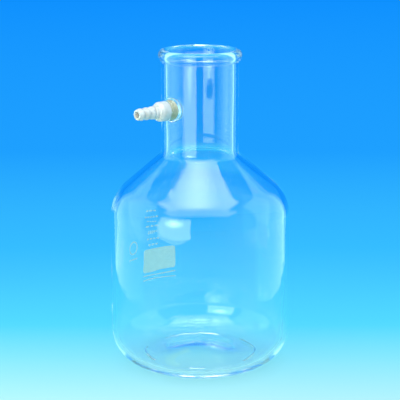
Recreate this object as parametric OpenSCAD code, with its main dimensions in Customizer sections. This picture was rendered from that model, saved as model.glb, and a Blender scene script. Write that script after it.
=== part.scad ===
// Bottle-shaped filter flask (Buchner flask) with a screw-tightened hose connector.
// Millimetres, +Z up. The origin is the centre of the foot ring, on the flask's axis.
// The side socket points along -X; distances along it are measured from the flask's axis.

/* [Body] */
// Outside diameter of the cylindrical body
body_d = 170; // [150:1:190]
// Height of the flask, foot to rim
flask_h = 301; // [290:1:330]
// Glass thickness of body and shoulder
body_wall = 4.8; // [3.5:0.1:6]
// Outside radius of the rounded heel
heel_r = 32; // [20:0.5:36]
// Glass thickness of the base at the heel
base_t = 6; // [5:0.5:9]
// Height that the middle of the base is pushed up
push_up = 8.5; // [2:0.5:14]
// Width of the flat foot ring
foot_w = 3; // [2:0.5:10]

/* [Shoulder] */
// Slope of the shoulder, measured from the horizontal
shoulder_angle = 41; // [38:0.5:44]
// Height where the lines of the body and the shoulder would cross
shoulder_z = 161.6; // [156:0.2:166]
// Outside radius that rounds the body into the shoulder
shoulder_r = 38; // [24:0.5:44]
// Outside radius that rounds the shoulder into the neck
throat_r = 8; // [5:0.5:14]

/* [Neck] */
// Outside diameter of the neck
neck_d = 72; // [68:0.2:76]
// Glass thickness of the neck
neck_wall = 4.8; // [4:0.1:6]
// Bore of the mouth, where a stopper sits
mouth_d = 62.6; // [62.5:0.1:63]
// Depth of the mouth's straight bore below its rounded edge
mouth_l = 36; // [20:1:38]
// Outside diameter of the rim bead
bead_d = 78.2; // [76.6:0.2:80]
// Height of the rim bead
bead_h = 10.4; // [10:0.2:12]

/* [Side socket] */
// Height of the socket's axis
socket_z = 247.8; // [235:0.2:260]
// Outside diameter of the socket
socket_d = 18.7; // [18.3:0.1:20]
// Bore of the socket
socket_bore_d = 14.6; // [14:0.1:15]
// Distance from the flask's axis to the inner end of the socket
socket_in = 26.2; // [24:0.2:27]
// Distance from the flask's axis to the outer lip of the socket
socket_out = 40.4; // [39.4:0.2:42]

/* [Hose connector] */
// Diameter of the nozzle's collar
collar_d = 18.2; // [17:0.1:20]
// Length of the collar, with its sloping front
collar_l = 11; // [8:0.5:14]
// Length of the nozzle in front of the collar
nozzle_l = 22.6; // [18:0.2:28]
// Diameter of the plain root that the hose end is pushed up to
root_d = 12; // [11:0.2:13]
// Length of the plain root
root_l = 3; // [2:0.5:5]
// Number of barbs between the root and the open end
barb_count = 3; // [2:1:5]
// Amount by which each barb's diameter is smaller than the one behind it
barb_step = 0.4; // [0:0.1:0.6]
// Bore through the nozzle
passage_d = 6; // [4:0.2:6.4]
// Thread diameter of the nozzle's stem
stem_d = 9; // [8:0.1:9.4]
// Thickness of the sleeve's flange between socket lip and collar
flange_t = 1.3; // [1:0.1:2]
// Diameter of the sleeve's flange
flange_d = 17.6; // [16:0.1:18]
// Length of the cone that spreads the sleeve
cone_l = 4; // [3:0.2:5]

/* [Print] */
// Width of the label field
label_w = 41; // [28:1:44]
// Height of the label field
label_h = 23; // [18:1:30]
// Height of the label field's middle
label_z = 79; // [70:1:88]
// Direction of the label field around the body, from +X towards +Y
label_turn = 80.5; // [60:0.5:90]
// Thickness of the fired enamel
enamel_t = 0.1; // [0.05:0.05:0.3]

/* [Hidden] */
$fn = 96;

body_r = body_d / 2;
neck_r = neck_d / 2;
neck_bore_r = neck_r - neck_wall;
mouth_r = mouth_d / 2;
bead_r = bead_h / 2;
socket_r = socket_d / 2;
bore_r = socket_bore_d / 2;
running_gap = 0.05;       // radial room between parts that turn or slide
lip_r = 0.95;             // rounding of the socket's two ends
arc_steps = 10;           // bands in one rounded stretch of the glass
foot_r = body_r - heel_r; // outer edge of the foot ring
inner_foot_r = body_r - body_wall - heel_r + base_t; // where the heel's inside becomes level

flange_x = socket_out + running_gap;      // sleeve's flange, side facing the lip
collar_x = flange_x + flange_t;           // collar, side facing the flange
root_x = collar_x + collar_l;             // plain root, next to the collar
tip_x = root_x + nozzle_l;                // open end of the nozzle
sleeve_x = socket_in + 6;                 // inner end of the rubber sleeve
nut_x = sleeve_x - 3.4;                   // inner end of the expander nut
stem_x = nut_x + 0.4;                     // inner end of the threaded stem
sleeve_r = bore_r - running_gap;
stem_r = stem_d / 2;
nut_r = sleeve_r - 0.35;
collar_r = collar_d / 2;
root_r = root_d / 2;
collar_front_r = root_r + 1.3;            // small end of the collar's sloping front
collar_slope = 3.2;                       // length of the collar's sloping front
barb_pitch = (nozzle_l - root_l) / barb_count;
barb_depth = 0.8;                         // height of a barb's step
barb_land = 1.4;                          // length of the cylinder on top of a barb

glass = [0.80, 0.93, 0.97, 0.35];
white_plastic = [0.93, 0.94, 0.91];
cream_rubber = [0.80, 0.76, 0.62];
enamel = [0.90, 0.88, 0.75];

// Points of an arc from angle a to angle b about [cx, cy].
function arc(cx, cy, r, a, b, steps = arc_steps) =
    [for (i = [0:steps]) let (t = a + (b - a) * i / steps) [cx + r * cos(t), cy + r * sin(t)]];

// Points of a shallow dome from the axis out to radius r, level at both ends and rising by h
// at the axis.
function dome(r, z, h, steps = 10) =
    [for (i = [0:steps]) [r * i / steps, z + h * (1 + cos(180 * i / steps)) / 2]];

// Points of one side of the wall, from the heel up to the start of the neck: heel arc, shoulder
// arc and throat arc. corner is the height where the lines of the body and the shoulder cross.
function wall_side(r, floor_z, heel, corner, shoulder, throat, neck) =
    let (turn = 90 - shoulder_angle,
         shoulder_run = shoulder * tan(turn / 2),
         throat_run = throat * tan(turn / 2),
         cone_top = corner + (r - neck) * tan(shoulder_angle))
    concat(arc(r - heel, floor_z + heel, heel, -90, 0, 2 * arc_steps),
           arc(r - shoulder, corner - shoulder_run, shoulder, 0, turn),
           arc(neck + throat, cone_top + throat_run, throat, 180 + turn, 180));

function reversed(points) = [for (i = [len(points) - 1:-1:0]) points[i]];

// Half section of the glass, without the side socket.
module glass_section() {
    inner_corner = shoulder_z + body_wall * tan(shoulder_angle) - body_wall / cos(shoulder_angle);
    bead_x = bead_d / 2 - bead_r;
    bead_foot = -acos((neck_r - bead_x) / bead_r);
    edge_r = bead_x - mouth_r;
    mouth_z = flask_h - edge_r - mouth_l;
    outside = concat(dome(foot_r - foot_w, 0, push_up),
                     wall_side(body_r, 0, heel_r, shoulder_z, shoulder_r, throat_r, neck_r),
                     arc(bead_x, flask_h - bead_r, bead_r, bead_foot, 90));
    inside = concat(dome(inner_foot_r - 1, base_t, push_up),
                    wall_side(body_r - body_wall, base_t, heel_r - base_t, inner_corner,
                              shoulder_r - body_wall, throat_r + neck_wall, neck_bore_r),
                    [[neck_bore_r, mouth_z - 2], [mouth_r, mouth_z]],
                    arc(bead_x, flask_h - edge_r, edge_r, 180, 95));
    polygon(concat(outside, reversed(inside)));
}

// Turns a half section [radius, distance from the flask's axis] about the socket's axis.
module about_socket() {
    translate([0, 0, socket_z]) rotate([0, -90, 0]) rotate_extrude() children();
}

module flask_body() {
    color(glass) difference() {
        union() {
            rotate_extrude() glass_section();
            about_socket() polygon(concat(
                [[0, socket_in]],
                arc(socket_r - lip_r, socket_in + lip_r, lip_r, -90, 0, 4),
                arc(socket_r - lip_r, socket_out - lip_r, lip_r, 0, 90, 4),
                [[0, socket_out]]));
        }
        about_socket() translate([0, socket_in - 1]) square([bore_r, socket_out - socket_in + 2]);
    }
}

// Rubber tube with a flange outside the lip and a conical mouth for the expander nut.
module seal_sleeve() {
    hole_r = stem_r + running_gap;
    color(cream_rubber) about_socket() polygon([
        [nut_r, sleeve_x], [sleeve_r, sleeve_x], [sleeve_r, flange_x], [flange_d / 2, flange_x],
        [flange_d / 2, flange_x + flange_t - running_gap], [hole_r, flange_x + flange_t - running_gap],
        [hole_r, sleeve_x + cone_l]]);
}

// Half section of one barb that starts at distance x and whose crest has radius r. Its step
// faces the collar and its slope runs down towards the open end.
module barb_section(x, r) {
    polygon([[0, x], [r - barb_depth, x], [r - barb_depth, x + barb_land], [r, x + barb_land],
             [r, x + 2 * barb_land], [r - barb_depth, x + barb_pitch], [0, x + barb_pitch]]);
}

module hose_nozzle() {
    color(white_plastic) difference() {
        about_socket() union() {
            translate([0, stem_x]) square([stem_r, collar_x - stem_x + 1]);
            polygon([[0, collar_x], [collar_r - 0.4, collar_x], [collar_r, collar_x + 0.4],
                     [collar_r, root_x - collar_slope], [collar_front_r, root_x], [0, root_x]]);
            translate([0, root_x]) square([root_r, root_l]);
            for (i = [0:barb_count - 1])
                barb_section(root_x + root_l + i * barb_pitch, root_r - i * barb_step / 2);
        }
        about_socket() translate([0, stem_x - 1]) square([passage_d / 2, tip_x - stem_x + 2]);
    }
}

// Threaded conical nut that spreads the sleeve when the nozzle draws it outwards.
module expander_nut() {
    hole_r = stem_r + running_gap;
    cone_gap = 0.1;
    color(white_plastic) about_socket() polygon([
        [hole_r, nut_x], [nut_r - 0.5, nut_x], [nut_r, nut_x + 0.5], [nut_r, sleeve_x - cone_gap],
        [hole_r + 0.3, sleeve_x + cone_l - 0.6], [hole_r, sleeve_x + cone_l - 0.6]]);
}

// Thin skin on the outside of the body, cut to the flat shape given as its child: child x runs
// around the body as seen from outside, child y is height.
module on_body(turn) {
    rotate([0, 0, turn]) intersection() {
        translate([body_r - 10, 0, 0]) rotate([90, 0, 90]) linear_extrude(20) children();
        translate([0, 0, heel_r]) difference() {
            cylinder(r = body_r + running_gap + enamel_t, h = shoulder_z - heel_r);
            translate([0, 0, -1]) cylinder(r = body_r + running_gap, h = shoulder_z - heel_r + 2);
        }
    }
}

module rounded_field(w, h, r) {
    union() {
        square([w - 2 * r, h], center = true);
        square([w, h - 2 * r], center = true);
        for (x = [-1, 1], y = [-1, 1]) translate([x * (w / 2 - r), y * (h / 2 - r)]) circle(r);
    }
}

module label_field() {
    color(enamel) on_body(label_turn) translate([0, label_z]) rounded_field(label_w, label_h, 3);
}

// Plain bars that stand for the rows of print above and below the label field.
module print_lines() {
    row_pitch = 6.2;
    color(enamel) {
        for (row = [0:1])
            on_body(label_turn) translate([0, label_z - label_h / 2 - 3.5 - row * 4.5])
                square([label_w, 1.2], center = true);
        for (row = [0:6])
            on_body(label_turn) translate([label_w * 0.18, label_z + label_h / 2 + 4 + row * row_pitch])
                square([14 + 4 * (row % 2), 1.8], center = true);
    }
}

// A ring over a short bar, beside the label field.
module print_mark() {
    mark_r = 6.4;
    line_w = 1.5;
    color(enamel) on_body(label_turn + 24.5) {
        translate([0, label_z + label_h / 2 + 6]) difference() {
            circle(mark_r);
            circle(mark_r - line_w);
        }
        translate([0, label_z + label_h / 2 - 5]) square([2 * mark_r, line_w], center = true);
    }
}

flask_body();
seal_sleeve();
hose_nozzle();
expander_nut();
label_field();
print_lines();
print_mark();
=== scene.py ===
import math

import bmesh
import bpy
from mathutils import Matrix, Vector, noise


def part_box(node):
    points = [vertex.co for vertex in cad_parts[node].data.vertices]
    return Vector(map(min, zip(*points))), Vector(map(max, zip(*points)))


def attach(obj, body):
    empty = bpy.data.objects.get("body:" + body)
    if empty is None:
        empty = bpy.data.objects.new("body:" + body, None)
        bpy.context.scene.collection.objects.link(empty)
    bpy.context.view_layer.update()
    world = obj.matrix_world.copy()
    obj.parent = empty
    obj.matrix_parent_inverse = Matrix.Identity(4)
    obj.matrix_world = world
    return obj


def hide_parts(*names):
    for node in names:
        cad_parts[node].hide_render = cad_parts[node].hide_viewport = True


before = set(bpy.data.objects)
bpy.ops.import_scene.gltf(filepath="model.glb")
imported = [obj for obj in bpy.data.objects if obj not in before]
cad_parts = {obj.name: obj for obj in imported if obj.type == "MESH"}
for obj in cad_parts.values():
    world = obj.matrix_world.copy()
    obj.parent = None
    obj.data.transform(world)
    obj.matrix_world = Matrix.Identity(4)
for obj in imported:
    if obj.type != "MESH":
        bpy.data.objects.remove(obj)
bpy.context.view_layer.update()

# Lengths are in millimetres here and become metres when a mesh is made.
MM = 0.001
glass_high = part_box("flask_body")[1]
nozzle_low, nozzle_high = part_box("hose_nozzle")
sleeve_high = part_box("seal_sleeve")[1]
nut_low, nut_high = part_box("expander_nut")
label_low, label_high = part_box("label_field")

# Glass
BODY_R = glass_high[0] / MM
FLASK_H = glass_high[2] / MM
BODY_WALL = 4.8
HEEL_R = 32.0
INNER_HEEL_R = 26.0
BASE_T = 6.0
PUSH_UP = 8.5
FOOT_W = 3.0
SHOULDER_ANGLE = math.radians(41)
SHOULDER_Z = 161.6
SHOULDER_R = 38.0
THROAT_R = 8.0
NECK_R = 36.0
NECK_BORE_R = 31.2
BEAD_OUT_R = 39.1
BEAD_R = 5.2
BEAD_OVERLAP = 0.9
UNDER_BEAD_R = 2.2
UNDER_BEAD_DROP = 2.4

# Side socket: distances along it are measured from the flask's axis towards -X
SOCKET_Z = (nozzle_low[2] + nozzle_high[2]) / 2 / MM
SOCKET_R = 9.35
SOCKET_BORE_R = 7.3
SOCKET_IN = 26.2
SOCKET_OUT = 40.4
OUTER_FILLET = 3.0
INNER_FILLET = 2.0
FILLET_PULL = 0.56
SPREAD_STEPS = 9
SPREAD_POWER = 1.4

# Waves left in the glass by hand forming: depth, and the scale of the noise along x, y and z
OUTER_WAVE = 0.22
OUTER_WAVE_SCALE = 0.022
INNER_WAVE = 0.3
INNER_WAVE_SCALE = 0.025
BAND_WAVE = 0.07
BAND_SCALE = (0.012, 0.012, 0.16)
WAVE_FADE = 40.0
SOCKET_CALM_R = 18.0
SOCKET_FADE = 15.0

# Connector
FLANGE_ROOM = 1.35
COLLAR_X = SOCKET_OUT + FLANGE_ROOM
STEM_R = 4.5
SLEEVE_HOLE_R = 4.55
CONE_R = 6.8
TIP_X = -nozzle_low[0] / MM
STEM_IN_X = -nozzle_high[0] / MM
SLEEVE_IN_X = -sleeve_high[0] / MM
NUT_IN_X = -nut_high[0] / MM
NUT_OUT_X = -nut_low[0] / MM

# Print
LABEL_W = 41.0
LABEL_H = (label_high[2] - label_low[2]) / MM
LABEL_Z = (label_low[2] + label_high[2]) / 2 / MM
LABEL_TURN = math.radians(80.5)
PRINT_GAP = -0.03
PRINT_T = 0.1
LINE_STEP = 4.5
ROW_STEP = 6.2
MARK_TURN = math.radians(24.5)
MARK_RING_R = 6.4
MARK_LINE = 1.5

SIDES = 320
PATCH_HALF = 25


def arc(cx, cy, r, start, end, steps):
    """Points of an arc about (cx, cy), angles in radians."""
    points = []
    for i in range(steps + 1):
        t = start + (end - start) * i / steps
        points.append((cx + r * math.cos(t), cy + r * math.sin(t)))
    return points


def dome(r, z, rise, steps=24):
    """Points of a shallow dome from the axis out to radius r, level at both ends."""
    points = []
    for i in range(steps + 1):
        points.append((r * i / steps, z + rise * (1 + math.cos(math.pi * i / steps)) / 2))
    return points


def rounded(corners, radii, steps=6):
    """A closed outline whose corners are replaced by arcs of the given radii."""
    outline = []
    count = len(corners)
    for i, radius in enumerate(radii):
        here = Vector(corners[i])
        before = (Vector(corners[i - 1]) - here).normalized()
        after = (Vector(corners[(i + 1) % count]) - here).normalized()
        half = before.angle(after) / 2
        if radius == 0 or abs(half - math.pi / 2) < 0.01:
            outline.append(tuple(here))
            continue
        centre = here + (before + after).normalized() * radius / math.sin(half)
        first = here + before * radius / math.tan(half) - centre
        last = here + after * radius / math.tan(half) - centre
        sweep = first.angle(last)
        for k in range(steps + 1):
            a = math.sin((1 - k / steps) * sweep) / math.sin(sweep)
            b = math.sin(k / steps * sweep) / math.sin(sweep)
            outline.append(tuple(centre + first * a + last * b))
    return outline


def smooth_mesh(name, points, faces):
    """A new object from points in millimetres, shaded smooth, with its faces turned outwards."""
    mesh = bpy.data.meshes.new(name)
    mesh.from_pydata([tuple(Vector(p) * MM) for p in points], [], faces)
    work = bmesh.new()
    work.from_mesh(mesh)
    bmesh.ops.recalc_face_normals(work, faces=work.faces)
    work.to_mesh(mesh)
    work.free()
    mesh.polygons.foreach_set("use_smooth", [True] * len(mesh.polygons))
    piece = bpy.data.objects.new(name, mesh)
    bpy.context.scene.collection.objects.link(piece)
    return piece


# ---------------------------------------------------------------- glass flask

def wall_side(r, floor_z, heel, corner, shoulder, throat, neck):
    """Heel arc, shoulder arc and throat arc of one side of the wall."""
    turn = math.pi / 2 - SHOULDER_ANGLE
    shoulder_run = shoulder * math.tan(turn / 2)
    throat_run = throat * math.tan(turn / 2)
    cone_top = corner + (r - neck) * math.tan(SHOULDER_ANGLE)
    heel_arc = arc(r - heel, floor_z + heel, heel, -math.pi / 2, 0, 40)
    body_rows = rows_between(heel_arc[-1], (r, corner - shoulder_run), 30)
    shoulder_arc = arc(r - shoulder, corner - shoulder_run, shoulder, 0, turn, 28)
    throat_arc = arc(neck + throat, cone_top + throat_run, throat, math.pi + turn, math.pi, 20)
    cone_rows = rows_between(shoulder_arc[-1], throat_arc[0], 14)
    return heel_arc + body_rows + shoulder_arc + cone_rows + throat_arc


def rows_between(a, b, count):
    """Points strictly between a and b, evenly spaced."""
    return [(a[0] + (b[0] - a[0]) * i / count, a[1] + (b[1] - a[1]) * i / count) for i in range(1, count)]


def patch_rows():
    """Heights of the rows that the side socket's patch is stitched to."""
    reach = NECK_BORE_R * math.sin(2 * math.pi * PATCH_HALF / SIDES)
    return [SOCKET_Z + reach * i / PATCH_HALF for i in range(-PATCH_HALF, PATCH_HALF + 1)]


def glass_profile():
    """Half section of the glass from the base's underside, over the rim, to the floor inside.

    Also gives the index of the first row of the socket's patch, outside and inside."""
    foot_r = BODY_R - HEEL_R
    bead_x = BEAD_OUT_R - BEAD_R
    edge_r = bead_x - NECK_BORE_R
    bead_foot = -math.acos((NECK_R - bead_x + BEAD_OVERLAP) / BEAD_R)
    inner_corner = SHOULDER_Z + BODY_WALL * math.tan(SHOULDER_ANGLE)
    inner_corner -= BODY_WALL / math.cos(SHOULDER_ANGLE)
    rows = patch_rows()

    outside = dome(foot_r - FOOT_W, 0, PUSH_UP)
    outside += rows_between(outside[-1], (foot_r, 0), 3)
    outside += wall_side(BODY_R, 0, HEEL_R, SHOULDER_Z, SHOULDER_R, THROAT_R, NECK_R)
    outside += rows_between(outside[-1], (NECK_R, rows[0]), 6)
    first_outside = len(outside)
    outside += [(NECK_R, z) for z in rows]
    bead = arc(bead_x, FLASK_H - BEAD_R, BEAD_R, bead_foot, math.pi / 2, 24)
    under_bead = arc(NECK_R + UNDER_BEAD_R, bead[0][1] - UNDER_BEAD_DROP, UNDER_BEAD_R,
                     math.pi, math.pi * 0.62, 6)
    outside += rows_between(outside[-1], under_bead[0], 5)
    outside += under_bead + bead

    inside = arc(bead_x, FLASK_H - edge_r, edge_r, math.pi / 2 + 0.15, math.pi, 10)
    inside += rows_between(inside[-1], (NECK_BORE_R, rows[-1]), 6)
    first_inside = len(outside) + len(inside)
    inside += [(NECK_BORE_R, z) for z in reversed(rows)]
    lower = wall_side(BODY_R - BODY_WALL, BASE_T, INNER_HEEL_R, inner_corner,
                      SHOULDER_R - BODY_WALL, THROAT_R + NECK_R - NECK_BORE_R, NECK_BORE_R)
    inside += rows_between(inside[-1], lower[-1], 6)
    inside += list(reversed(lower))
    inside += list(reversed(dome(BODY_R - BODY_WALL - INNER_HEEL_R, BASE_T, PUSH_UP)))
    return outside + inside, first_outside, first_inside


def patch_loop():
    """Row and column steps round the edge of the socket's square patch, in order."""
    n = 2 * PATCH_HALF
    loop = [(0, k) for k in range(n)]
    loop += [(k, n) for k in range(n)]
    loop += [(n, n - k) for k in range(n)]
    loop += [(n - k, 0) for k in range(n)]
    return loop


def neck_point(r, u, v):
    """The point of a cylinder of radius r that lies behind (u, v) as seen along the socket."""
    return (-math.sqrt(r * r - u * u), u, SOCKET_Z + v)


def fillet_curve(r, psi, reach, outwards, steps):
    """A curve that leaves the neck's surface of radius r and runs into the socket's outside."""
    foot = SOCKET_R + reach
    start = Vector((foot, math.sqrt(r * r - (foot * math.cos(psi)) ** 2)))
    root = math.sqrt(r * r - (SOCKET_R * math.cos(psi)) ** 2)
    end = Vector((SOCKET_R, root + reach * outwards))
    slope = -foot * math.cos(psi) ** 2 / start[1]
    start_pull = start + Vector((-1, -slope)) * reach * FILLET_PULL
    end_pull = end - Vector((0, outwards)) * reach * FILLET_PULL
    curve = []
    for i in range(steps + 1):
        t = i / steps
        point = start * (1 - t) ** 3 + start_pull * 3 * t * (1 - t) ** 2
        point += end_pull * 3 * t * t * (1 - t) + end * t ** 3
        curve.append(tuple(point))
    return curve


def socket_chain(edge_out, edge_in):
    """Points from one edge point of the patch outside, through the socket, to the edge inside."""
    psi = math.atan2(edge_out[1], edge_out[0])
    lip = (SOCKET_R - SOCKET_BORE_R) / 2
    lip_r = SOCKET_R - lip
    chain = []

    def spread(edge, r, reach, order):
        foot = (SOCKET_R + reach) * Vector((math.cos(psi), math.sin(psi)))
        for i in order:
            t = (i / SPREAD_STEPS) ** SPREAD_POWER
            u, v = foot * (1 - t) + Vector(edge) * t
            chain.append(neck_point(r, u, v))

    def ring(radius, distance):
        chain.append((-distance, radius * math.cos(psi), SOCKET_Z + radius * math.sin(psi)))

    spread(edge_out, NECK_R, OUTER_FILLET, range(SPREAD_STEPS - 1, 0, -1))
    outer = fillet_curve(NECK_R, psi, OUTER_FILLET, 1, 8)
    for radius, distance in outer:
        ring(radius, distance)
    for radius, distance in arc(lip_r, SOCKET_OUT - lip, lip, 0, math.pi, 12):
        ring(radius, distance)
    for i in range(1, 6):
        ring(SOCKET_BORE_R, SOCKET_OUT - lip - (SOCKET_OUT - SOCKET_IN - 2 * lip) * i / 6)
    for radius, distance in arc(lip_r, SOCKET_IN + lip, lip, math.pi, 2 * math.pi, 12):
        ring(radius, distance)
    inner = fillet_curve(NECK_BORE_R, psi, INNER_FILLET, -1, 7)
    for radius, distance in reversed(inner):
        ring(radius, distance)
    spread(edge_in, NECK_BORE_R, INNER_FILLET, range(1, SPREAD_STEPS))
    return chain


def ripple(point):
    """Depth of the slow waves that hand forming leaves in the glass, in millimetres."""
    return OUTER_WAVE * noise.noise(Vector(point) * OUTER_WAVE_SCALE)


def inner_ripple(point):
    """Waves of the inner surface: slow ones, and fine level bands that run round the body."""
    x, y, z = point
    slow = noise.noise(Vector((x + 300, y, z)) * INNER_WAVE_SCALE)
    band = noise.noise(Vector(point) * Vector(BAND_SCALE))
    return INNER_WAVE * slow + BAND_WAVE * band


def ripple_share(point):
    """How much of the ripple a point takes: none at the foot, the mouth and the socket."""
    x, y, z = point
    socket_x = -33
    calm_mouth = 12
    away = math.sqrt((x - socket_x) ** 2 + y * y + (z - SOCKET_Z) ** 2)
    share = min(1.0, z / WAVE_FADE)
    share *= min(1.0, max(0.0, (FLASK_H - calm_mouth - z) / WAVE_FADE))
    return share * min(1.0, max(0.0, (away - SOCKET_CALM_R) / SOCKET_FADE))


def flask():
    """The flask's glass: one closed skin, turned on the axis, with the socket stitched in."""
    profile, first_out, first_in = glass_profile()
    rows = 2 * PATCH_HALF
    col0 = SIDES // 2 - PATCH_HALF
    points = []
    for r, z in profile[1:-1]:
        for j in range(SIDES):
            t = 2 * math.pi * j / SIDES
            points.append((r * math.cos(t), r * math.sin(t), z))
    under = len(points)
    points += [(0, 0, profile[0][1]), (0, 0, profile[-1][1])]

    def at(row, col):
        return (row - 1) * SIDES + col % SIDES

    faces = []
    for row in range(1, len(profile) - 2):
        in_patch = first_out <= row < first_out + rows or first_in <= row < first_in + rows
        for col in range(SIDES):
            if in_patch and col0 <= col < col0 + rows:
                continue
            faces.append((at(row, col), at(row, col + 1), at(row + 1, col + 1), at(row + 1, col)))
    for col in range(SIDES):
        faces.append((under, at(1, col + 1), at(1, col)))
        faces.append((under + 1, at(len(profile) - 2, col), at(len(profile) - 2, col + 1)))

    strips = []
    for row, col in patch_loop():
        out_id = at(first_out + row, col0 + col)
        in_id = at(first_in + rows - row, col0 + col)
        out_point = points[out_id]
        in_point = points[in_id]
        edge_out = (out_point[1], out_point[2] - SOCKET_Z)
        edge_in = (in_point[1], in_point[2] - SOCKET_Z)
        chain = socket_chain(edge_out, edge_in)
        start = len(points)
        points += chain
        strips.append([out_id] + list(range(start, start + len(chain))) + [in_id])
    for i, strip in enumerate(strips):
        other = strips[(i + 1) % len(strips)]
        for k in range(len(strip) - 1):
            faces.append((strip[k], other[k], other[k + 1], strip[k + 1]))

    rows_above = 8
    inner_from = at(first_in - rows_above, 0)
    piece = smooth_mesh("flask_glass", points, faces)
    normals = [v.normal.copy() for v in piece.data.vertices]
    for v in piece.data.vertices:
        point = v.co / MM
        share = ripple_share(point)
        if share > 0:
            depth = inner_ripple(point) if inner_from <= v.index < under else ripple(point)
            v.co += normals[v.index] * depth * share * MM
    return piece


# ---------------------------------------------------------------- connector

def turned(name, outline, sides=128):
    """A ring turned about the socket's axis from a closed outline of (radius, distance)."""
    points = []
    for r, x in outline:
        for j in range(sides):
            t = 2 * math.pi * j / sides
            points.append((-x, r * math.cos(t), SOCKET_Z + r * math.sin(t)))
    count = len(outline)
    faces = []
    for i in range(count):
        for j in range(sides):
            a = i * sides + j
            b = i * sides + (j + 1) % sides
            c = (i + 1) % count * sides + (j + 1) % sides
            d = (i + 1) % count * sides + j
            faces.append((a, b, c, d))
    return smooth_mesh(name, points, faces)


def nozzle():
    """Barbed nozzle, collar and hollow threaded stem, one moulding."""
    passage = 3.0
    stem = STEM_R
    collar = 9.1
    root = 6.0
    collar_length = 11
    root_length = 3
    root_x = COLLAR_X + collar_length
    barb_x = root_x + root_length
    barbs = 3
    barb_pitch = (TIP_X - barb_x) / barbs
    barb_step = 0.2
    barb_depth = 0.8
    thread_depth = 0.5
    thread_length = 6
    corners = [(passage, STEM_IN_X), (stem - 0.2, STEM_IN_X)]
    radii = [0.3, 0.3]
    thread_pitch = 2.0
    x = STEM_IN_X + 0.8
    while x < STEM_IN_X + thread_length:
        valley = stem - thread_depth
        corners += [(valley, x), (stem, x + 0.7), (stem, x + 1.0), (valley, x + 1.7)]
        radii += [0.1, 0.1, 0.1, 0.1]
        x += thread_pitch
    corners += [(stem, x + 0.5), (stem, COLLAR_X), (collar, COLLAR_X)]
    radii += [0.2, 0.3, 0.45]
    corners += [(collar, root_x - 3.2), (root + 1.3, root_x), (root, root_x)]
    radii += [1.6, 0.5, 0.3]
    corners += [(root, barb_x)]
    radii += [0.15]
    for i in range(barbs):
        crest = root - barb_step * i
        valley = crest - barb_depth
        x = barb_x + barb_pitch * i
        corners += [(valley, x + 0.35), (valley, x + 1.3), (crest, x + 1.6), (crest, x + 2.8)]
        radii += [0.3, 0.3, 0.25, 0.8]
        if i < barbs - 1:
            corners += [(valley, x + barb_pitch - 0.1)]
            radii += [0.3]
    corners += [(root - 1.3, TIP_X), (passage, TIP_X)]
    radii += [0.5, 0.35]
    return turned("barbed_nozzle", rounded(corners, radii, 4), 144)


def sleeve():
    """Rubber sleeve with a soft-edged flange and a conical mouth for the nut."""
    hole = SLEEVE_HOLE_R
    tube = SOCKET_BORE_R + 0.03
    flange = 8.2
    flange_x = SOCKET_OUT + 0.05
    outer_face = COLLAR_X - 0.05
    corners = [(CONE_R, SLEEVE_IN_X), (tube, SLEEVE_IN_X), (tube, flange_x), (flange, flange_x),
               (flange, outer_face), (hole, outer_face), (hole, SLEEVE_IN_X + 4)]
    radii = [0.1, 0.15, 0.3, 0.5, 0.5, 0.2, 0.2]
    return turned("rubber_sleeve", rounded(corners, radii, 5))


def nut():
    """Conical expander nut with a rounded inner end."""
    hole = SLEEVE_HOLE_R
    cone_x = SLEEVE_IN_X - 0.1
    corners = [(hole, NUT_IN_X), (CONE_R, NUT_IN_X), (CONE_R, cone_x),
               (hole + 0.3, NUT_OUT_X), (hole, NUT_OUT_X)]
    radii = [0.3, 0.9, 0.3, 0.1, 0.1]
    return turned("conical_nut", rounded(corners, radii, 5))


# ---------------------------------------------------------------- enamel print

def on_glass(turn, across, height, lift):
    """A point on the body's outside: across runs round it as seen from outside."""
    angle = turn + across / BODY_R
    x = BODY_R * math.cos(angle)
    y = BODY_R * math.sin(angle)
    point = (x, y, height)
    r = BODY_R + lift + ripple(point) * ripple_share(point)
    return (r * math.cos(angle), r * math.sin(angle), height)


def skin(grid, turn):
    """Points and faces of a thin closed skin over a grid of (across, height)."""
    rows = len(grid)
    cols = len(grid[0])
    points = []
    for lift in (PRINT_GAP, PRINT_GAP + PRINT_T):
        for row in grid:
            points += [on_glass(turn, across, height, lift) for across, height in row]
    faces = []

    def at(side, i, j):
        return side * rows * cols + i * cols + j

    for i in range(rows - 1):
        for j in range(cols - 1):
            for side in (0, 1):
                low = (at(side, i, j), at(side, i, j + 1))
                high = (at(side, i + 1, j + 1), at(side, i + 1, j))
                quad = low + high
                faces.append(quad if side else tuple(reversed(quad)))
    edge = [(0, j) for j in range(cols)]
    edge += [(i, cols - 1) for i in range(1, rows)]
    edge += [(rows - 1, j) for j in range(cols - 2, -1, -1)]
    edge += [(i, 0) for i in range(rows - 2, 0, -1)]
    for k, (i, j) in enumerate(edge):
        i2, j2 = edge[(k + 1) % len(edge)]
        faces.append((at(0, i, j), at(0, i2, j2), at(1, i2, j2), at(1, i, j)))
    return points, faces


def rounded_grid(across, height, w, h, r, cols):
    """Grid over a rounded rectangle centred on (across, height)."""
    levels = [h / 2 - r + r * math.sin(math.pi / 2 * k / 6) for k in range(6, -1, -1)]
    levels += [(h / 2 - r) * (1 - 2 * k / 8) for k in range(1, 8)]
    levels += [-level for level in reversed(levels[:7])]
    grid = []
    for level in levels:
        over = max(0.0, abs(level) - (h / 2 - r))
        half = w / 2 - r + math.sqrt(max(0.0, r * r - over * over))
        grid.append([(across + half * (2 * j / cols - 1), height + level) for j in range(cols + 1)])
    return grid


def printed(name, grids, turn):
    """One object made of several thin skins."""
    points = []
    faces = []
    for grid in grids:
        new_points, new_faces = skin(grid, turn)
        start = len(points)
        points += new_points
        faces += [tuple(start + i for i in face) for face in new_faces]
    return smooth_mesh(name, points, faces)


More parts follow.
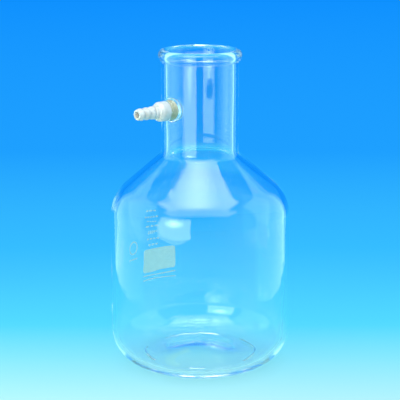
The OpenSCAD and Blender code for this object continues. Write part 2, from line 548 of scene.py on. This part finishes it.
def label():
    """The pale writing field, a plain rounded rectangle."""
    return printed("label_enamel", [rounded_grid(0, LABEL_Z, LABEL_W, LABEL_H, 3.0, 40)], LABEL_TURN)


def lines():
    """Rows of plain dashes over the label field and two thin lines under it."""
    grids = []
    thin_lines = 2
    dash_rows = 7
    for row in range(thin_lines):
        height = LABEL_Z - LABEL_H / 2 - 3.5 - row * LINE_STEP
        grids.append(rounded_grid(0, height, LABEL_W, 1.2, 0.55, 40))
    for row in range(dash_rows):
        height = LABEL_Z + LABEL_H / 2 + 4 + row * ROW_STEP
        width = 14 + 4 * (row % 2)
        left = LABEL_W * 0.18 - width / 2
        dashes = 3 + row % 3
        pitch = width / dashes
        for i in range(dashes):
            long = pitch * (0.62 + 0.16 * ((i + row) % 2))
            grids.append(rounded_grid(left + pitch * (i + 0.5), height, long, 1.8, 0.5, 6))
    return printed("line_enamel", grids, LABEL_TURN)


def mark():
    """A ring over a short bar."""
    middle = LABEL_Z + LABEL_H / 2 + 6
    grids = []
    for half in (0, 1):
        rows = []
        for r in (MARK_RING_R - MARK_LINE, MARK_RING_R - MARK_LINE / 2, MARK_RING_R):
            row = []
            for k in range(25):
                t = math.pi * (half + k / 24)
                row.append((r * math.cos(t), middle + r * math.sin(t)))
            rows.append(row)
        grids.append(rows)
    grids.append(rounded_grid(0, LABEL_Z + LABEL_H / 2 - 5, 2 * MARK_RING_R, MARK_LINE, 0.5, 14))
    return printed("mark_enamel", grids, LABEL_TURN + MARK_TURN)


# ---------------------------------------------------------------- materials

class Shader:
    """Short names for building a node tree."""

    def __init__(self, name):
        self.material = bpy.data.materials.new(name)
        self.material.use_nodes = True
        self.tree = self.material.node_tree
        self.tree.nodes.clear()
        self.out = self.node("ShaderNodeOutputMaterial")

    def node(self, kind, **values):
        made = self.tree.nodes.new(kind)
        for key, value in values.items():
            setattr(made, key, value)
        return made

    def link(self, source, target):
        self.tree.links.new(source, target)

    def noise(self, scale, detail=4.0, rough=0.5, coords="Object"):
        place = self.node("ShaderNodeTexCoord")
        made = self.node("ShaderNodeTexNoise")
        made.inputs["Scale"].default_value = scale
        made.inputs["Detail"].default_value = detail
        made.inputs["Roughness"].default_value = rough
        self.link(place.outputs[coords], made.inputs["Vector"])
        return made.outputs["Fac"]

    def ramp(self, source, stops):
        made = self.node("ShaderNodeValToRGB")
        elements = made.color_ramp.elements
        while len(elements) < len(stops):
            elements.new(0.5)
        for element, (place, colour) in zip(elements, stops):
            element.position = place
            element.color = colour if len(colour) == 4 else (*colour, 1)
        self.link(source, made.inputs["Fac"])
        return made.outputs["Color"]

    def range(self, source, low, high, from_low=0.0, from_high=1.0):
        made = self.node("ShaderNodeMapRange")
        made.inputs["From Min"].default_value = from_low
        made.inputs["From Max"].default_value = from_high
        made.inputs["To Min"].default_value = low
        made.inputs["To Max"].default_value = high
        self.link(source, made.inputs["Value"])
        return made.outputs["Result"]

    def bump(self, height, strength, distance):
        made = self.node("ShaderNodeBump")
        made.inputs["Strength"].default_value = strength
        made.inputs["Distance"].default_value = distance
        self.link(height, made.inputs["Height"])
        return made.outputs["Normal"]

    def principled(self, **values):
        made = self.node("ShaderNodeBsdfPrincipled")
        for key, value in values.items():
            made.inputs[key.replace("_", " ")].default_value = value
        return made

    def show(self, shader):
        self.link(shader, self.out.inputs["Surface"])
        return self.material


def linear(r, g, b):
    """Linear colour from the 0 to 255 values of a screen colour."""
    result = []
    for value in (r, g, b):
        value /= 255
        result.append(value / 12.92 if value <= 0.04045 else ((value + 0.055) / 1.055) ** 2.4)
    return tuple(result)


def glass_material():
    """Clear borosilicate glass. Lamps shine through it, so it throws only a faint shadow."""
    s = Shader("borosilicate_glass")
    body = s.principled(IOR=1.473, Transmission_Weight=1.0, Roughness=0.0)
    tint = s.ramp(s.noise(9, 2), [(0.3, (0.985, 0.997, 0.996)), (0.7, (0.992, 1.0, 0.999))])
    s.link(tint, body.inputs["Base Color"])
    s.link(s.bump(s.noise(38, 2), 0.05, 0.001), body.inputs["Normal"])
    clear = s.node("ShaderNodeBsdfTransparent")
    clear.inputs["Color"].default_value = (0.90, 0.95, 0.96, 1)
    path = s.node("ShaderNodeLightPath")
    either = s.node("ShaderNodeMath", operation="MAXIMUM")
    s.link(path.outputs["Is Shadow Ray"], either.inputs[0])
    s.link(path.outputs["Is Diffuse Ray"], either.inputs[1])
    mix = s.node("ShaderNodeMixShader")
    s.link(either.outputs["Value"], mix.inputs["Fac"])
    s.link(body.outputs["BSDF"], mix.inputs[1])
    s.link(clear.outputs["BSDF"], mix.inputs[2])
    return s.show(mix.outputs["Shader"])


def plastic_material(name, pale, warm):
    """White moulded plastic with a faint mottle, fine grain and slightly uneven gloss."""
    s = Shader(name)
    body = s.principled(IOR=1.49, Subsurface_Weight=0.15, Subsurface_Scale=0.002)
    body.inputs["Subsurface Radius"].default_value = (1.0, 0.9, 0.7)
    mottle = s.noise(180, 5)
    s.link(s.ramp(mottle, [(0.3, warm), (0.65, pale)]), body.inputs["Base Color"])
    s.link(s.range(s.noise(420, 3), 0.26, 0.42), body.inputs["Roughness"])
    s.link(s.bump(s.noise(1500, 3), 0.12, 0.0004), body.inputs["Normal"])
    return s.show(body.outputs["BSDF"])


def rubber_material():
    """Cream rubber, matte, with a fine powdery bloom."""
    s = Shader("seal_rubber")
    body = s.principled(IOR=1.5, Roughness=0.7)
    body.inputs["Specular IOR Level"].default_value = 0.3
    bloom = s.noise(260, 6, 0.65)
    s.link(s.ramp(bloom, [(0.3, (0.54, 0.38, 0.19)), (0.7, (0.74, 0.58, 0.36))]), body.inputs["Base Color"])
    s.link(s.bump(s.noise(900, 4), 0.25, 0.0004), body.inputs["Normal"])
    return s.show(body.outputs["BSDF"])


def enamel_material(name, thin, thick, see_through):
    """Fired enamel: a thin matte film that lets some of the light behind it through."""
    s = Shader(name)
    body = s.principled(IOR=1.5, Roughness=0.55)
    speckle = s.noise(700, 5, 0.6)
    s.link(s.ramp(speckle, [(0.3, thin), (0.7, thick)]), body.inputs["Base Color"])
    s.link(s.bump(speckle, 0.2, 0.0002), body.inputs["Normal"])
    through = s.node("ShaderNodeBsdfTransparent")
    mix = s.node("ShaderNodeMixShader")
    s.link(s.range(s.noise(120, 3), see_through - 0.08, see_through + 0.08), mix.inputs["Fac"])
    s.link(body.outputs["BSDF"], mix.inputs[1])
    s.link(through.outputs["BSDF"], mix.inputs[2])
    return s.show(mix.outputs["Shader"])


# ---------------------------------------------------------------- studio

CAMERA_TURN = math.radians(-41)
CAMERA_AWAY = 1.300
CAMERA_UP = 0.470
AIM_UP = 0.1573
LENS = 126.7


def camera():
    """The camera: it stands higher than the flask and looks slightly down at it."""
    data = bpy.data.cameras.new("camera")
    data.lens = LENS
    data.sensor_width = 36
    made = bpy.data.objects.new("camera", data)
    bpy.context.scene.collection.objects.link(made)
    made.location = (CAMERA_AWAY * math.sin(CAMERA_TURN), -CAMERA_AWAY * math.cos(CAMERA_TURN), CAMERA_UP)
    look = Vector((0, 0, AIM_UP)) - made.location
    made.rotation_euler = look.to_track_quat("-Z", "Y").to_euler()
    bpy.context.scene.camera = made
    return made


def studio_rig(watcher):
    """An empty at the flask's foot that turns with the camera, so the lamps stay put in the picture."""
    rig = bpy.data.objects.new("studio_rig", None)
    bpy.context.scene.collection.objects.link(rig)
    turn = rig.constraints.new("COPY_ROTATION")
    turn.target = watcher
    turn.use_x = False
    turn.use_y = False
    return rig


def panel(rig, name, centre, facing, width, height, material, seen=False):
    """A flat stage panel, placed and aimed in the rig's frame. Only a seen one shows itself."""
    mesh = bpy.data.meshes.new(name)
    w, h = width / 2, height / 2
    mesh.from_pydata([(-w, -h, 0), (w, -h, 0), (w, h, 0), (-w, h, 0)], [], [(0, 1, 2, 3)])
    made = bpy.data.objects.new(name, mesh)
    bpy.context.scene.collection.objects.link(made)
    made.parent = rig
    made.location = centre
    made.rotation_euler = Vector(facing).to_track_quat("Z", "Y").to_euler()
    made.visible_camera = seen
    mesh.materials.append(material)


def lamp_material(name, edge, core, spread, tint, core_up=0.0):
    """A diffuser that glows evenly at its edge and brighter round a point core_up above its middle."""
    s = Shader(name)
    place = s.node("ShaderNodeTexCoord")
    far = s.node("ShaderNodeVectorMath", operation="DISTANCE")
    s.link(place.outputs["Object"], far.inputs[0])
    far.inputs[1].default_value = (0, core_up, 0)
    glow = s.node("ShaderNodeEmission")
    glow.inputs["Color"].default_value = (*tint, 1)
    s.link(s.range(far.outputs["Value"], core, edge, 0.0, spread), glow.inputs["Strength"])
    return s.show(glow.outputs["Emission"])


# Colours of the floor by distance behind the flask's axis, in metres
SWEEP = [(-1.2, (60, 130, 180)), (-0.45, (80, 160, 200)), (-0.15, (190, 230, 225)), (0.0, (135, 220, 235)),
         (0.1, (85, 210, 245)), (0.4, (55, 190, 255)), (1.0, (30, 160, 255)), (3.6, (15, 145, 255))]
SKY = (30, 160, 255)
BOUNCES = 96


def sweep_colour(s, rig):
    """Colour of the floor: pale in front of and under the flask, blue far behind it."""
    place = s.node("ShaderNodeTexCoord", object=rig)
    parts = s.node("ShaderNodeSeparateXYZ")
    s.link(place.outputs["Object"], parts.inputs[0])
    nearest = SWEEP[0][0]
    furthest = SWEEP[-1][0]
    curve = s.node("ShaderNodeMath", operation="POWER")
    share = s.range(parts.outputs["Y"], 0.0, 1.0, nearest, furthest)
    s.link(share, curve.inputs[0])
    curve.inputs[1].default_value = 0.5
    stops = []
    for away, colour in SWEEP:
        stops.append((((away - nearest) / (furthest - nearest)) ** 0.5, linear(*colour)))
    return s.ramp(curve.outputs["Value"], stops)


def floor(rig):
    """A wide pale floor that shades into blue with distance, with a painted contact shadow that makes it a
    little darker under the flask.
    """
    s = Shader("floor")
    place = s.node("ShaderNodeTexCoord", object=rig)
    far = s.node("ShaderNodeVectorMath", operation="LENGTH")
    s.link(place.outputs["Object"], far.inputs[0])
    # Painted contact shadow: the floor colour is multiplied by a slightly darker tone within 55 mm of the
    # axis, fading out by 88 mm.
    under = s.range(far.outputs["Value"], 0.0, 1.0, 0.055, 0.088)
    shaded = s.node("ShaderNodeVectorMath", operation="MULTIPLY")
    s.link(sweep_colour(s, rig), shaded.inputs[0])
    s.link(s.ramp(under, [(0.0, (0.95, 0.94, 0.91)), (1.0, (1, 1, 1))]), shaded.inputs[1])
    colour = shaded.outputs["Vector"]
    glow = s.node("ShaderNodeEmission")
    s.link(colour, glow.inputs["Color"])
    matte = s.node("ShaderNodeBsdfDiffuse")
    s.link(colour, matte.inputs["Color"])
    mix = s.node("ShaderNodeMixShader")
    parts = s.node("ShaderNodeSeparateXYZ")
    s.link(place.outputs["Object"], parts.inputs[0])
    s.link(s.range(parts.outputs["Y"], 0.35, 0.0, -0.1, 0.6), mix.inputs["Fac"])
    s.link(glow.outputs["Emission"], mix.inputs[1])
    s.link(matte.outputs["BSDF"], mix.inputs[2])
    material = s.show(mix.outputs["Shader"])
    mesh = bpy.data.meshes.new("floor")
    reach = 8.0
    mesh.from_pydata([(-reach, -reach, 0), (reach, -reach, 0), (reach, reach, 0), (-reach, reach, 0)], [],
                     [(0, 1, 2, 3)])
    mesh.materials.append(material)
    made = bpy.data.objects.new("floor", mesh)
    made.location = (0, 0, -0.0002)
    bpy.context.scene.collection.objects.link(made)


def plain_glow(name, colour, strength):
    """A surface that glows evenly."""
    s = Shader(name)
    glow = s.node("ShaderNodeEmission")
    glow.inputs["Color"].default_value = (*colour, 1)
    glow.inputs["Strength"].default_value = strength
    return s.show(glow.outputs["Emission"])


def studio():
    """Camera, floor, backdrop, two pale cards and three soft lamps; sizes in metres."""
    watcher = camera()
    rig = studio_rig(watcher)
    floor(rig)
    backdrop = plain_glow("backdrop", linear(*SWEEP[-1][1]), 1.0)
    panel(rig, "backdrop", (0, 4.2, 1.2), (0, -1, 0), 7.0, 4.4, backdrop, seen=True)
    card = plain_glow("pale_card", (0.46, 1.0, 1.0), 1.35)
    panel(rig, "left_card", (-0.30, 0.068, 0.235), (1, 0, 0), 0.366, 0.47, card)
    panel(rig, "right_card", (0.30, 0.068, 0.235), (-1, 0, 0), 0.366, 0.47, card)
    top = lamp_material("top_lamp", 3.4, 7.8, 0.45, (0.86, 1.0, 1.0))
    panel(rig, "top_lamp", (-0.06, -0.30, 1.25), (0, 0, -1), 1.54, 0.70, top)
    front = plain_glow("front_lamp", (0.85, 1.0, 1.0), 2.0)
    panel(rig, "front_lamp", (0, -0.95, 1.25), (0, 0, -1), 2.20, 0.62, front)
    side = lamp_material("side_lamp", 3.6, 13.0, 0.13, (0.74, 1.0, 1.0), 0.06)
    panel(rig, "side_lamp", (-0.285, -0.465, 0.2265), (0.285, 0.465, 0), 0.40, 0.433, side)
    world = bpy.data.worlds.new("studio")
    world.use_nodes = True
    world.node_tree.nodes["Background"].inputs["Color"].default_value = (*linear(*SKY), 1)
    scene = bpy.context.scene
    scene.world = world
    scene.view_settings.view_transform = "Standard"
    scene.cycles.max_bounces = BOUNCES
    scene.cycles.transmission_bounces = BOUNCES
    scene.cycles.glossy_bounces = BOUNCES
    scene.cycles.transparent_max_bounces = 24
    scene.cycles.caustics_reflective = False
    scene.cycles.caustics_refractive = False


def place(piece, body, node, material, slot):
    """Give a piece its material and put it on the body of the CAD node it stands for."""
    piece.data.materials.append(material)
    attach(piece, body)
    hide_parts(node)


white = linear(225, 210, 200)
cream_white = linear(210, 190, 170)
place(flask(), "flask", "flask_body", glass_material(), "borosilicate_glass")
nozzle_plastic = plastic_material("nozzle_plastic", white, cream_white)
place(nozzle(), "nozzle", "hose_nozzle", nozzle_plastic, "nozzle_plastic")
place(sleeve(), "seal", "seal_sleeve", rubber_material(), "seal_rubber")
nut_plastic = plastic_material("nut_plastic", cream_white, cream_white)
place(nut(), "expander", "expander_nut", nut_plastic, "nut_plastic")
label_enamel = enamel_material("label_enamel", linear(214, 216, 196), linear(236, 236, 216), 0.40)
print_enamel = enamel_material("print_enamel", linear(205, 210, 196), linear(228, 232, 220), 0.45)
place(label(), "flask", "label_field", label_enamel, "label_enamel")
place(lines(), "flask", "print_lines", print_enamel, "print_enamel")
place(mark(), "flask", "print_mark", print_enamel, "print_enamel")
studio()
